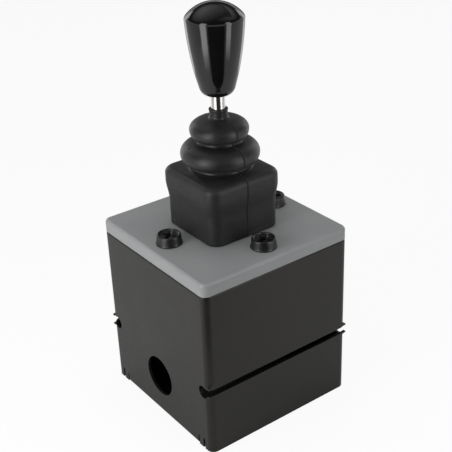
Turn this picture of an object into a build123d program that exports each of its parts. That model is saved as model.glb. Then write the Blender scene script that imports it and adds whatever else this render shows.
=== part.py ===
from build123d import *
import os
from math import radians, tan

# Hand joystick with a four-plunger hydraulic pilot valve, in a folded console box. Millimetres.
# Origin: centre of the box's open bottom. +Z up, -Y is the wall with the cable hole, and the slots
# are in the +X and -X walls.

# ---- console shell, folded from one sheet
box_width = 120.0
box_depth = 120.0
shell_height = 122.3
sheet = 2.0
bend_radius = 5.0
fold_radius = 1.8
top_flange = 24.0
bottom_flange = 12.0
flange_slit = 1.2
cable_hole_radius = 14.8
cable_hole_height = 30.4
slot_bottom = 46.7
slot_height = 4.9
relief_radius = 4.6
relief_inset = 6.7
relief_height = 47.9
long_ear = 7.0
short_ear = 1.8
ear_tip = 0.8
east_ear_lean = 1.0
west_ear_lean = 2.3
short_ear_lean = 0.4
outer_notch = 51.4
outer_notch_width = 1.8
outer_notch_height = 8.0
inner_notch = 45.2
inner_notch_width = 1.2
inner_notch_height = 7.0

# ---- top plate and its four screws
plate_thickness = 8.9
plate_edge_radius = 2.2
boss_clearance = 0.3
screw_inset = 15.7
screw_radius = 3.0
screw_length = 20.0
screw_hole_clearance = 0.4
thread_clearance = 0.05
head_rim_radius = 9.0
head_rim_height = 1.0
head_base_radius = 8.4
head_top_radius = 8.1
head_height = 6.8
head_edge_radius = 0.8
recess_length = 9.0
recess_width = 2.4
recess_depth = 3.2

# ---- valve body, under the plate
boss_radius = 24.0
body_width = 58.0
body_corner_radius = 5.0
body_height = 36.0
lug_radius = 9.5
lug_height = 12.0
port_block_height = 24.0
port_radius = 5.9
port_depth = 12.0
port_chamfer = 0.8
passage_radius = 2.5
supply_port_offset = 16.0
block_screw_inset = 5.2
block_screw_radius = 2.0
block_screw_head_radius = 3.5
block_screw_head_height = 4.0
block_screw_reach = 12.0

# ---- plungers, spools and springs, one set on each side
plunger_circle_radius = 15.5
plunger_radius = 3.5
plunger_collar_radius = 5.2
plunger_collar_height = 2.4
plunger_nose_length = 3.0
plunger_nose_radius = 2.0
plunger_gap = 0.3
running_clearance = 0.05
chamber_radius = 5.5
chamber_depth = 31.2
spool_radius = 2.95
spool_length = 15.0
spool_groove_depth = 0.8
spool_groove_length = 4.0
spool_head_radius = 3.5
spool_head_height = 1.6
spool_head_lift = 3.4
return_wire = 0.9
return_spring_radius = 4.6
return_coils = 4.0
metering_wire = 0.7
metering_spring_radius = 2.5
metering_coils = 4.0

# ---- guide block, above the plate
pivot_height = 18.8
guide_width = 48.6
guide_corner_radius = 5.5
guide_drop = 3.3
foot_groove_height = 3.2
foot_groove_depth = 1.7
bush_radius = 5.2
bush_length = 4.0
seal_length = 3.0
guide_screw_offset = 14.5
guide_screw_radius = 2.5
guide_screw_head_radius = 4.2
guide_screw_head_height = 5.0
guide_screw_reach = 9.0
joint_recess_radius = 10.6

# ---- universal joint
cross_half = 4.6
ear_gap = 0.3
ear_thickness = 3.5
yoke_floor_drop = 7.5
yoke_floor_thickness = 4.0
yoke_floor_clearance = 0.2
stem_radius = 4.0
stem_length = 20.0
long_pin_radius = 3.0
cross_pin_radius = 1.75
pin_end_inset = 0.2
edge_chamfer = 0.6

# ---- actuating plate, lever and knob
tilt_limit = 18.0
contact_lead = 3.0
plate_disc_radius = 20.0
disc_thickness = 4.0
hub_radius = 15.0
hub_bore_radius = 11.5
hub_bore_height = 6.0
hub_height = 10.5
hub_top_radius = 9.0
rod_radius = 4.65
rod_engagement = 4.0
nut_flats = 15.0
nut_height = 5.0
gaiter_to_knob = 6.9
knob_height = 62.4
knob_foot_radius = 5.6
knob_shoulder_radius = 12.1
knob_shoulder_height = 9.0
knob_heel_radius = 10.2
knob_heel_height = 4.6
knob_mid_radius = 16.5
knob_mid_height = 29.0
knob_rim_radius = 19.1
knob_dome_height = 9.9
knob_rim_ring = 0.5
insert_radius = 7.5
insert_length = 20.0
insert_setback = 5.0

# ---- gaiter
gaiter_foot_half = 27.8
gaiter_foot_corner = 8.0
gaiter_waist_half = 28.0
gaiter_waist_height = 22.0
gaiter_shoulder_half = 29.3
gaiter_shoulder_corner = 8.5
gaiter_shoulder_height = 34.0
gaiter_block_height = 41.8
gaiter_shoulder_radius = 4.2
gaiter_wall = 1.8
gaiter_fit = 0.3
skirt_height = 2.6
skirt_fillet = 2.0
lower_waist_radius = 19.8
lower_fold_radius = 26.4
upper_waist_radius = 15.0
upper_fold_radius = 19.6
crease_radius = 0.8
lower_crease_height = 0.4
lower_fold_rise = 7.4
upper_crease_rise = 9.2
upper_fold_rise = 7.1
neck_foot_rise = 7.6
neck_radius = 6.2
neck_lip_radius = 6.8
neck_height = 6.0
neck_lip_height = 2.4
rod_fit = 0.3

# ---- angles
quarter_turn = 90.0
mitre_angle = 45.0

# ---- levels that follow from the sizes above
plate_top = shell_height + plate_thickness
lug_top = shell_height - sheet
body_bottom = lug_top - body_height
block_bottom = body_bottom - port_block_height
block_screw_offset = body_width / 2 - block_screw_inset
chamber_floor = plate_top - chamber_depth
pivot = plate_top + pivot_height
guide_top = pivot - guide_drop
recess_floor = pivot - yoke_floor_drop - yoke_floor_thickness
disc_bottom = pivot + plunger_radius + contact_lead
disc_top = disc_bottom + disc_thickness
hub_ceiling = disc_bottom + hub_bore_height
hub_top = disc_bottom + hub_height
tilt = radians(tilt_limit)
plunger_travel = plunger_circle_radius * tan(tilt)
plunger_top = disc_bottom - plunger_gap
collar_top = plate_top - plunger_travel - plunger_gap
collar_bottom = collar_top - plunger_collar_height
spool_head_bottom = chamber_floor + spool_head_lift
spool_head_top = spool_head_bottom + spool_head_height
block_top = plate_top + gaiter_block_height
bellows_foot = block_top + skirt_height
lower_fold_level = bellows_foot + lower_crease_height + crease_radius + lower_fold_rise
upper_crease_level = lower_fold_level + upper_crease_rise
upper_fold_level = upper_crease_level + upper_fold_rise
neck_foot = upper_fold_level + neck_foot_rise
neck_top = neck_foot + neck_height
knob_foot = neck_top + gaiter_to_knob
knob_top = knob_foot + knob_height
slot_top = slot_bottom + slot_height
screw_x = box_width / 2 - screw_inset
screw_y = box_depth / 2 - screw_inset
screw_centres = [(screw_x, 0), (0, screw_y), (-screw_x, 0), (0, -screw_y)]
sides = {"east": (1, 0), "north": (0, 1), "west": (-1, 0), "south": (0, -1)}

os.makedirs("parts", exist_ok=True)


def save(builder, name):
    """Label a finished sub-part and write it to its own STEP file."""
    builder.part.label = name
    export_step(builder.part, f"parts/{name}.step")


def ear_outline(end, level, lean, rise):
    """A point of sheet left flat beyond the bend: full height at the bend, narrow at the tip."""
    start = end * (box_depth / 2 - bend_radius - sheet)
    tip = end * box_depth / 2
    tip_height = ear_tip if rise > 0 else -ear_tip
    return [(start, level), (tip, level + lean), (tip, level + lean + tip_height),
            (start, level + rise)]


# ---- console shell
with BuildPart() as console_shell:
    with BuildSketch():
        RectangleRounded(box_width, box_depth, bend_radius)
    extrude(amount=shell_height)
    with BuildSketch():
        RectangleRounded(box_width - 2 * sheet, box_depth - 2 * sheet, bend_radius - sheet)
    extrude(amount=shell_height - sheet, mode=Mode.SUBTRACT)
    with BuildSketch(Plane.XY.offset(shell_height - sheet)):
        RectangleRounded(box_width - 2 * top_flange, box_depth - 2 * top_flange, fold_radius)
    extrude(amount=sheet, mode=Mode.SUBTRACT)
    fillet(console_shell.faces().sort_by(Axis.Z)[-1].outer_wire().edges(), fold_radius)
    # flanges turned in along the bottom of the front and back walls
    with BuildSketch():
        for end in (-1, 1):
            with Locations((0, end * (box_depth - sheet - bottom_flange) / 2)):
                Rectangle(2 * inner_notch - inner_notch_width, bottom_flange + sheet)
    extrude(amount=sheet)
    # relief notches beside those flanges
    with BuildSketch(Plane.XZ.offset(-box_depth / 2)):
        for end in (-1, 1):
            with Locations((end * outer_notch, outer_notch_height / 2)):
                Rectangle(outer_notch_width, outer_notch_height)
            with Locations((end * inner_notch, inner_notch_height / 2)):
                Rectangle(inner_notch_width, inner_notch_height)
    extrude(amount=box_depth, mode=Mode.SUBTRACT)
    fold_edges = console_shell.edges().filter_by(Axis.X).group_by(Axis.Z)[0]
    fillet([edge for edge in fold_edges if abs(edge.center().Y) > box_depth / 2 - sheet / 2
            and edge.length > inner_notch], fold_radius)
    # round bend reliefs in the front and back walls, then the slots across the side walls
    with BuildSketch(Plane.XZ.offset(-box_depth / 2)):
        with Locations(*[(end * (box_width / 2 - relief_inset), relief_height) for end in (-1, 1)]):
            Circle(relief_radius)
    extrude(amount=box_depth, mode=Mode.SUBTRACT)
    with BuildSketch(Plane.XY.offset(slot_bottom)):
        for end in (-1, 1):
            with Locations((end * (box_width - relief_inset) / 2, 0)):
                Rectangle(relief_inset, box_depth)
    extrude(amount=slot_height, mode=Mode.SUBTRACT)
    # ears of unbent sheet above and below the slots, in the planes of the side walls
    for wall, upper, upper_lean, lower, lower_lean in (
            (box_width / 2 - sheet, long_ear, east_ear_lean, short_ear, short_ear_lean),
            (-box_width / 2, short_ear, -short_ear_lean, long_ear, -west_ear_lean)):
        for end in (-1, 1):
            with BuildSketch(Plane.YZ.offset(wall)):
                Polygon(*ear_outline(end, slot_top, upper_lean, upper), align=None)
                Polygon(*ear_outline(end, slot_bottom, lower_lean, -lower), align=None)
            extrude(amount=sheet)
    # cable hole in the front wall
    with BuildSketch(Plane.XZ.offset(box_depth / 2)):
        with Locations((0, cable_hole_height)):
            Circle(cable_hole_radius)
    extrude(amount=-2 * sheet, mode=Mode.SUBTRACT)
    # clearance holes for the plate screws, and the mitre slits between the top flanges
    with BuildSketch(Plane.XY.offset(shell_height)):
        with Locations(*screw_centres):
            Circle(screw_radius + screw_hole_clearance)
        for side in (-1, 1):
            mitre_x = side * (box_width - top_flange) / 2
            mitre_y = (box_depth - top_flange) / 2
            with Locations((mitre_x, side * mitre_y)):
                Rectangle(top_flange / 2, flange_slit, rotation=mitre_angle)
            with Locations((mitre_x, -side * mitre_y)):
                Rectangle(top_flange / 2, flange_slit, rotation=-mitre_angle)
    extrude(amount=-sheet, mode=Mode.SUBTRACT)
save(console_shell, "console_shell")

# ---- top plate
with BuildPart() as top_plate:
    with BuildSketch(Plane.XY.offset(shell_height)):
        RectangleRounded(box_width, box_depth, bend_radius)
    extrude(amount=plate_thickness)
    fillet(top_plate.faces().sort_by(Axis.Z)[-1].outer_wire().edges(), plate_edge_radius)
    with BuildSketch(Plane.XY.offset(shell_height)):
        Circle(boss_radius + boss_clearance)
        with Locations(*screw_centres):
            Circle(screw_radius + screw_hole_clearance)
    extrude(amount=plate_thickness, mode=Mode.SUBTRACT)
save(top_plate, "top_plate")

# ---- plate screws: rimmed conical heads with a cross recess
with BuildPart() as plate_screws:
    for axis_x, axis_y in screw_centres:
        with BuildSketch(Plane((axis_x, axis_y, plate_top), x_dir=(1, 0, 0), z_dir=(0, -1, 0))):
            with BuildLine():
                Polyline((0, -screw_length), (screw_radius, -screw_length), (screw_radius, 0),
                         (head_rim_radius, 0), (head_rim_radius, head_rim_height),
                         (head_base_radius, head_rim_height))
                Line((head_base_radius, head_rim_height),
                     (head_top_radius, head_height - head_edge_radius))
                Line((head_top_radius, head_height - head_edge_radius),
                     (head_top_radius - head_edge_radius, head_height))
                Polyline((head_top_radius - head_edge_radius, head_height), (0, head_height),
                         (0, -screw_length))
            make_face()
        revolve(axis=Axis((axis_x, axis_y, 0), (0, 0, 1)))
        with BuildSketch(Plane((axis_x, axis_y, plate_top + head_height))):
            Rectangle(recess_length, recess_width)
            Rectangle(recess_width, recess_length)
        extrude(amount=-recess_depth, mode=Mode.SUBTRACT)
save(plate_screws, "plate_screws")

# ---- valve body: boss through the plate, four lugs, spring chambers and spool bores
with BuildPart() as valve_body:
    with BuildSketch(Plane.XY.offset(body_bottom)):
        RectangleRounded(body_width, body_width, body_corner_radius)
    extrude(amount=body_height)
    with BuildSketch(Plane.XY.offset(lug_top - lug_height)):
        SlotCenterToCenter(2 * screw_x, 2 * lug_radius)
        SlotCenterToCenter(2 * screw_y, 2 * lug_radius, rotation=quarter_turn)
    extrude(amount=lug_height)
    with BuildSketch(Plane.XY.offset(lug_top)):
        Circle(boss_radius)
    extrude(amount=plate_top - lug_top)
    with BuildSketch(Plane.XY.offset(lug_top - lug_height)):
        with Locations(*screw_centres):
            Circle(screw_radius + thread_clearance)
    extrude(amount=lug_height, mode=Mode.SUBTRACT)
    with BuildSketch(Plane.XY.offset(chamber_floor)):
        with PolarLocations(plunger_circle_radius, 4):
            Circle(chamber_radius)
    extrude(amount=chamber_depth, mode=Mode.SUBTRACT)
    with BuildSketch(Plane.XY.offset(body_bottom)):
        with PolarLocations(plunger_circle_radius, 4):
            Circle(spool_radius + running_clearance)
    extrude(amount=chamber_floor - body_bottom, mode=Mode.SUBTRACT)
    # blind tapped holes: joint stem and guide screws from above, port block screws from below
    with BuildSketch(Plane.XY.offset(plate_top)):
        Circle(stem_radius + thread_clearance)
    extrude(amount=recess_floor - stem_length - plate_top - thread_clearance, mode=Mode.SUBTRACT)
    with BuildSketch(Plane.XY.offset(plate_top)):
        with GridLocations(2 * guide_screw_offset, 2 * guide_screw_offset, 2, 2):
            Circle(guide_screw_radius + thread_clearance)
    extrude(amount=-guide_screw_reach - thread_clearance, mode=Mode.SUBTRACT)
    with BuildSketch(Plane.XY.offset(body_bottom)):
        with GridLocations(2 * block_screw_offset, 2 * block_screw_offset, 2, 2):
            Circle(block_screw_radius + thread_clearance)
    extrude(amount=block_screw_reach + thread_clearance, mode=Mode.SUBTRACT)
save(valve_body, "valve_body")

# ---- port block: four working ports under the spools, supply and return ports on one diagonal
supply_ports = [(supply_port_offset, supply_port_offset), (-supply_port_offset, -supply_port_offset)]
with BuildPart() as port_block:
    with BuildSketch(Plane.XY.offset(block_bottom)):
        RectangleRounded(body_width, body_width, body_corner_radius)
    extrude(amount=port_block_height)
    chamfer(port_block.faces().sort_by(Axis.Z)[0].edges(), edge_chamfer)
    with BuildSketch(Plane.XY.offset(block_bottom)):
        with PolarLocations(plunger_circle_radius, 4):
            Circle(port_radius)
        with Locations(*supply_ports):
            Circle(port_radius)
    extrude(amount=port_depth, mode=Mode.SUBTRACT)
    port_mouths = port_block.edges().filter_by(GeomType.CIRCLE).group_by(Axis.Z)[0]
    chamfer(port_mouths.filter_by(lambda edge: abs(edge.radius - port_radius) < edge_chamfer),
            port_chamfer)
    with BuildSketch(Plane.XY.offset(block_bottom)):
        with PolarLocations(plunger_circle_radius, 4):
            Circle(passage_radius)
        with Locations(*supply_ports):
            Circle(passage_radius)
    extrude(amount=port_block_height, mode=Mode.SUBTRACT)
    with BuildSketch(Plane.XY.offset(block_bottom)):
        with GridLocations(2 * block_screw_offset, 2 * block_screw_offset, 2, 2):
            Circle(block_screw_head_radius + screw_hole_clearance / 2)
    extrude(amount=block_screw_head_height, mode=Mode.SUBTRACT)
    with BuildSketch(Plane.XY.offset(block_bottom)):
        with GridLocations(2 * block_screw_offset, 2 * block_screw_offset, 2, 2):
            Circle(block_screw_radius + screw_hole_clearance / 2)
    extrude(amount=port_block_height, mode=Mode.SUBTRACT)
save(port_block, "port_block")


def socket_screws(offset, seat, direction, shank, head_radius, head_height, reach):
    """Four socket-head screws on a square, heads at a seat level, shanks along a direction."""
    with BuildPart() as screws:
        for x in (-offset, offset):
            for y in (-offset, offset):
                with BuildSketch(Plane((x, y, seat), z_dir=(0, 0, direction))):
                    Circle(shank)
                extrude(amount=reach)
                with BuildSketch(Plane((x, y, seat), z_dir=(0, 0, -direction))):
                    Circle(head_radius)
                extrude(amount=head_height)
                with BuildSketch(Plane((x, y, seat - direction * head_height),
                                       z_dir=(0, 0, direction))):
                    RegularPolygon(head_radius / 2, 6, major_radius=False)
                extrude(amount=head_height / 2, mode=Mode.SUBTRACT)
    return screws


block_screw_seat = block_bottom + block_screw_head_height
port_block_screws = socket_screws(
    block_screw_offset, block_screw_seat, 1, block_screw_radius, block_screw_head_radius,
    block_screw_head_height, body_bottom + block_screw_reach - block_screw_seat)
save(port_block_screws, "port_block_screws")

# ---- guide block: square, clamped on the body, grooved round its foot for the gaiter
guide_screw_seat = guide_top - guide_screw_head_height - edge_chamfer
with BuildPart() as guide_block:
    with BuildSketch(Plane.XY.offset(plate_top)):
        RectangleRounded(guide_width, guide_width, guide_corner_radius)
    extrude(amount=guide_top - plate_top)
    chamfer(guide_block.faces().sort_by(Axis.Z)[-1].edges(), edge_chamfer)
    with BuildSketch(Plane.XY.offset(plate_top)):
        RectangleRounded(guide_width, guide_width, guide_corner_radius)
        RectangleRounded(guide_width - 2 * foot_groove_depth, guide_width - 2 * foot_groove_depth,
                         guide_corner_radius - foot_groove_depth, mode=Mode.SUBTRACT)
    extrude(amount=foot_groove_height, mode=Mode.SUBTRACT)
    with BuildSketch(Plane.XY.offset(recess_floor)):
        Circle(joint_recess_radius)
    extrude(amount=guide_top - recess_floor, mode=Mode.SUBTRACT)
    with BuildSketch(Plane.XY.offset(plate_top)):
        Circle(stem_radius + screw_hole_clearance / 2)
        with PolarLocations(plunger_circle_radius, 4):
            Circle(plunger_radius + plunger_gap)
    extrude(amount=guide_top - plate_top, mode=Mode.SUBTRACT)
    with BuildSketch(Plane.XY.offset(plate_top)):
        with PolarLocations(plunger_circle_radius, 4):
            Circle(bush_radius)
    extrude(amount=bush_length + seal_length, mode=Mode.SUBTRACT)
    with BuildSketch(Plane.XY.offset(plate_top)):
        with GridLocations(2 * guide_screw_offset, 2 * guide_screw_offset, 2, 2):
            Circle(guide_screw_radius + screw_hole_clearance / 2)
    extrude(amount=guide_top - plate_top, mode=Mode.SUBTRACT)
    with BuildSketch(Plane.XY.offset(guide_screw_seat)):
        with GridLocations(2 * guide_screw_offset, 2 * guide_screw_offset, 2, 2):
            Circle(guide_screw_head_radius + screw_hole_clearance / 2)
    extrude(amount=guide_top - guide_screw_seat, mode=Mode.SUBTRACT)
save(guide_block, "guide_block")

guide_screws = socket_screws(
    guide_screw_offset, guide_screw_seat, -1, guide_screw_radius, guide_screw_head_radius,
    guide_screw_head_height, guide_screw_seat - plate_top + guide_screw_reach)
save(guide_screws, "guide_screws")

with BuildPart() as guide_bushes:
    with BuildSketch(Plane.XY.offset(plate_top + seal_length)):
        with PolarLocations(plunger_circle_radius, 4):
            Circle(bush_radius)
            Circle(plunger_radius + running_clearance, mode=Mode.SUBTRACT)
    extrude(amount=bush_length)
save(guide_bushes, "guide_bushes")

with BuildPart() as plunger_seals:
    with BuildSketch(Plane.XY.offset(plate_top)):
        with PolarLocations(plunger_circle_radius, 4):
            Circle(bush_radius)
            Circle(plunger_radius + running_clearance, mode=Mode.SUBTRACT)
    extrude(amount=seal_length)
save(plunger_seals, "plunger_seals")

# ---- universal joint: base yoke on the X pin, cross, and the two pins
ear_inner = cross_half + ear_gap
ear_outer = ear_inner + ear_thickness
with BuildPart() as base_yoke:
    with BuildSketch(Plane.XY.offset(recess_floor)):
        Circle(joint_recess_radius - yoke_floor_clearance)
    extrude(amount=yoke_floor_thickness)
    with BuildSketch(Plane.XY.offset(recess_floor)):
        Circle(stem_radius)
    extrude(amount=-stem_length)
    for side in (-1, 1):
        with BuildSketch(Plane.YZ.offset(ear_inner if side > 0 else -ear_outer)):
            with Locations((0, pivot)):
                Circle(cross_half)
            with Locations((0, pivot - yoke_floor_drop / 2)):
                Rectangle(2 * cross_half, yoke_floor_drop)
        extrude(amount=ear_thickness)
    with BuildSketch(Plane.YZ.offset(-ear_outer)):
        with Locations((0, pivot)):
            Circle(long_pin_radius + running_clearance)
    extrude(amount=2 * ear_outer, mode=Mode.SUBTRACT)
save(base_yoke, "joint_base_yoke")

with BuildPart() as cross_block:
    with BuildSketch(Plane.XY.offset(pivot - cross_half)):
        Rectangle(2 * cross_half, 2 * cross_half)
    extrude(amount=2 * cross_half)
    chamfer(cross_block.edges(), edge_chamfer)
    with BuildSketch(Plane.YZ.offset(-cross_half)):
        with Locations((0, pivot)):
            Circle(long_pin_radius)
    extrude(amount=2 * cross_half, mode=Mode.SUBTRACT)
    with BuildSketch(Plane.XZ.offset(-cross_half)):
        with Locations((0, pivot)):
            Circle(cross_pin_radius)
    extrude(amount=2 * cross_half, mode=Mode.SUBTRACT)
save(cross_block, "joint_cross_block")

pin_half = ear_outer - pin_end_inset
with BuildPart() as long_pin:
    with BuildSketch(Plane.YZ.offset(-pin_half)):
        with Locations((0, pivot)):
            Circle(long_pin_radius)
    extrude(amount=2 * pin_half)
    with BuildSketch(Plane.XZ.offset(-pin_half)):
        with Locations((0, pivot)):
            Circle(cross_pin_radius)
    extrude(amount=2 * pin_half, mode=Mode.SUBTRACT)
save(long_pin, "joint_long_pin")

with BuildPart() as cross_pin:
    with BuildSketch(Plane.XZ.offset(-pin_half)):
        with Locations((0, pivot)):
            Circle(cross_pin_radius)
    extrude(amount=2 * pin_half)
save(cross_pin, "joint_cross_pin")

# ---- actuating plate: a disc on a hub, with the upper yoke hanging in the hub's bore
with BuildPart() as actuating_plate:
    with BuildSketch(Plane.XZ):
        with BuildLine():
            Polyline((rod_radius + thread_clearance, hub_ceiling), (hub_bore_radius, hub_ceiling),
                     (hub_bore_radius, disc_bottom), (plate_disc_radius, disc_bottom),
                     (plate_disc_radius, disc_top), (hub_radius, disc_top),
                     (hub_top_radius, hub_top), (rod_radius + thread_clearance, hub_top), close=True)
        make_face()
    revolve(axis=Axis.Z)
    chamfer(actuating_plate.edges().filter_by(GeomType.CIRCLE)
            .filter_by(lambda edge: abs(edge.radius - plate_disc_radius) < edge_chamfer), edge_chamfer)
    for side in (-1, 1):
        with BuildSketch(Plane.XZ.offset(ear_inner if side > 0 else -ear_outer)):
            with Locations((0, pivot)):
                Circle(cross_half)
            with Locations((0, (pivot + hub_ceiling) / 2)):
                Rectangle(2 * cross_half, hub_ceiling - pivot)
        extrude(amount=ear_thickness)
    with BuildSketch(Plane.XZ.offset(-ear_outer)):
        with Locations((0, pivot)):
            Circle(cross_pin_radius + running_clearance)
    extrude(amount=2 * ear_outer, mode=Mode.SUBTRACT)
save(actuating_plate, "actuating_plate")

with BuildPart() as lock_nut:
    with BuildSketch(Plane.XY.offset(hub_top)):
        RegularPolygon(nut_flats / 2, 6, major_radius=False)
        Circle(rod_radius + thread_clearance, mode=Mode.SUBTRACT)
    extrude(amount=nut_height)
save(lock_nut, "lock_nut")

# ---- lever rod, knob and the insert moulded into the knob
rod_top = knob_foot + insert_setback + insert_length - edge_chamfer
with BuildPart() as lever_rod:
    with BuildSketch(Plane.XY.offset(hub_top - rod_engagement)):
        Circle(rod_radius)
    extrude(amount=rod_top - hub_top + rod_engagement)
    chamfer(lever_rod.edges().filter_by(GeomType.CIRCLE), edge_chamfer)
save(lever_rod, "lever_rod")

insert_bottom = knob_foot + insert_setback
knob_rim = knob_top - knob_dome_height
dome_edge_radius = knob_rim_radius - knob_rim_ring
dome_rise = knob_dome_height - knob_rim_ring
dome_radius = (dome_edge_radius**2 + dome_rise**2) / (2 * dome_rise)
with BuildPart() as knob:
    with BuildSketch(Plane.XZ):
        with BuildLine():
            Line((0, knob_foot), (knob_foot_radius, knob_foot))
            ThreePointArc((knob_foot_radius, knob_foot),
                          (knob_heel_radius, knob_foot + knob_heel_height),
                          (knob_shoulder_radius, knob_foot + knob_shoulder_height))
            ThreePointArc((knob_shoulder_radius, knob_foot + knob_shoulder_height),
                          (knob_mid_radius, knob_foot + knob_mid_height),
                          (knob_rim_radius, knob_rim))
            Line((knob_rim_radius, knob_rim), (dome_edge_radius, knob_rim + knob_rim_ring))
            RadiusArc((dome_edge_radius, knob_rim + knob_rim_ring), (0, knob_top), -dome_radius)
            Line((0, knob_top), (0, knob_foot))
        make_face()
    revolve(axis=Axis.Z)
    with BuildSketch(Plane.XY.offset(knob_foot)):
        Circle(rod_radius + thread_clearance)
    extrude(amount=insert_setback, mode=Mode.SUBTRACT)
    with BuildSketch(Plane.XY.offset(insert_bottom)):
        Circle(insert_radius)
    extrude(amount=insert_length, mode=Mode.SUBTRACT)
save(knob, "knob")

with BuildPart() as knob_insert:
    with BuildSketch(Plane.XY.offset(insert_bottom)):
        Circle(insert_radius)
        Circle(rod_radius + thread_clearance, mode=Mode.SUBTRACT)
    extrude(amount=insert_length)
save(knob_insert, "knob_insert")


def coil_spring(x, y, bottom, top, radius, wire, coils):
    """A compression spring on a vertical axis: square wire, with its two ends ground flat."""
    pitch = (top - bottom) / coils
    with BuildPart() as spring:
        with BuildLine(Plane((x, y, bottom))) as path:
            Helix(pitch, top - bottom, radius)
        with BuildSketch(Plane(origin=path.line @ 0, x_dir=(1, 0, 0), z_dir=path.line % 0)):
            Rectangle(wire, wire)
        sweep(path=path.line, is_frenet=True)
        split(bisect_by=Plane.XY.offset(bottom), keep=Keep.TOP)
        split(bisect_by=Plane.XY.offset(top), keep=Keep.BOTTOM)
    return spring


# ---- one plunger, return spring, metering spring and spool on each side of the joint
for name, (x, y) in sides.items():
    axis_x = x * plunger_circle_radius
    axis_y = y * plunger_circle_radius
    axis_line = Axis((axis_x, axis_y, 0), (0, 0, 1))
    with BuildPart() as plunger:
        with BuildSketch(Plane((axis_x, axis_y, 0), x_dir=(1, 0, 0), z_dir=(0, -1, 0))):
            with BuildLine():
                shoulder = plunger_top - plunger_radius
                nose = collar_bottom - plunger_nose_length
                Polyline((0, nose), (plunger_nose_radius, nose), (plunger_nose_radius, collar_bottom),
                         (plunger_collar_radius, collar_bottom), (plunger_collar_radius, collar_top),
                         (plunger_radius, collar_top), (plunger_radius, shoulder))
                RadiusArc((plunger_radius, shoulder), (0, plunger_top), -plunger_radius)
                Line((0, plunger_top), (0, nose))
            make_face()
        revolve(axis=axis_line)
    save(plunger, f"plunger_{name}")
    return_spring = coil_spring(axis_x, axis_y, chamber_floor, collar_bottom,
                                return_spring_radius, return_wire, return_coils)
    save(return_spring, f"return_spring_{name}")
    metering_spring = coil_spring(axis_x, axis_y, spool_head_top, collar_bottom,
                                  metering_spring_radius, metering_wire, metering_coils)
    save(metering_spring, f"metering_spring_{name}")
    with BuildPart() as spool:
        with BuildSketch(Plane((axis_x, axis_y, spool_head_bottom))):
            Circle(spool_radius)
        extrude(amount=-spool_length)
        with BuildSketch(Plane((axis_x, axis_y, spool_head_bottom))):
            Circle(spool_head_radius)
        extrude(amount=spool_head_height)
        groove_level = spool_head_bottom - (spool_length + spool_groove_length) / 2
        with BuildSketch(Plane((axis_x, axis_y, groove_level))):
            Circle(spool_radius + running_clearance)
            Circle(spool_radius - spool_groove_depth, mode=Mode.SUBTRACT)
        extrude(amount=spool_groove_length, mode=Mode.SUBTRACT)
    save(spool, f"spool_{name}")

# ---- gaiter base: a square skirt pulled in at its waist, its foot gripped by the guide block
skirt_wall = gaiter_foot_half - guide_width / 2 - gaiter_fit
lip_half = guide_width / 2 - foot_groove_depth + gaiter_fit
lip_corner = guide_corner_radius - foot_groove_depth + gaiter_fit
lip_top = plate_top + foot_groove_height - gaiter_fit
shoulder_level = plate_top + gaiter_shoulder_height
waist_level = plate_top + gaiter_waist_height


def skirt_block(inset, foot, top):
    """The square skirt as a solid: its outer form, or the hollow inside it inset by the wall."""
    with BuildPart() as block:
        for level, half, corner in ((foot, gaiter_foot_half, gaiter_foot_corner),
                                    (waist_level, gaiter_waist_half, gaiter_foot_corner),
                                    (shoulder_level, gaiter_shoulder_half, gaiter_shoulder_corner),
                                    (top, gaiter_shoulder_half, gaiter_shoulder_corner)):
            with BuildSketch(Plane.XY.offset(level)):
                RectangleRounded(2 * (half - inset), 2 * (half - inset), corner - inset)
        loft(ruled=inset > 0)
        fillet(block.faces().sort_by(Axis.Z)[-1].edges(), gaiter_shoulder_radius - inset)
    return block.part


skirt_ceiling = block_top - skirt_wall
skirt_outside = skirt_block(0, plate_top, block_top)
skirt_inside = skirt_block(skirt_wall, lip_top, skirt_ceiling)
with BuildPart() as gaiter_base:
    add(skirt_outside)
    with BuildSketch(Plane.XY.offset(skirt_ceiling)):
        Circle(lower_waist_radius)
    extrude(amount=bellows_foot - skirt_ceiling)
    fillet(gaiter_base.edges().filter_by(GeomType.CIRCLE)
           .filter_by(lambda edge: abs(edge.radius - lower_waist_radius) < gaiter_fit
                      and edge.center().Z < bellows_foot - gaiter_fit), skirt_fillet)
    add(skirt_inside, mode=Mode.SUBTRACT)
    with BuildSketch(Plane.XY.offset(plate_top)):
        RectangleRounded(2 * lip_half, 2 * lip_half, lip_corner)
    extrude(amount=lip_top - plate_top, mode=Mode.SUBTRACT)
    with BuildSketch(Plane.XY.offset(skirt_ceiling)):
        Circle(lower_waist_radius - gaiter_wall)
    extrude(amount=bellows_foot - skirt_ceiling, mode=Mode.SUBTRACT)
save(gaiter_base, "gaiter_base")

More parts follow.
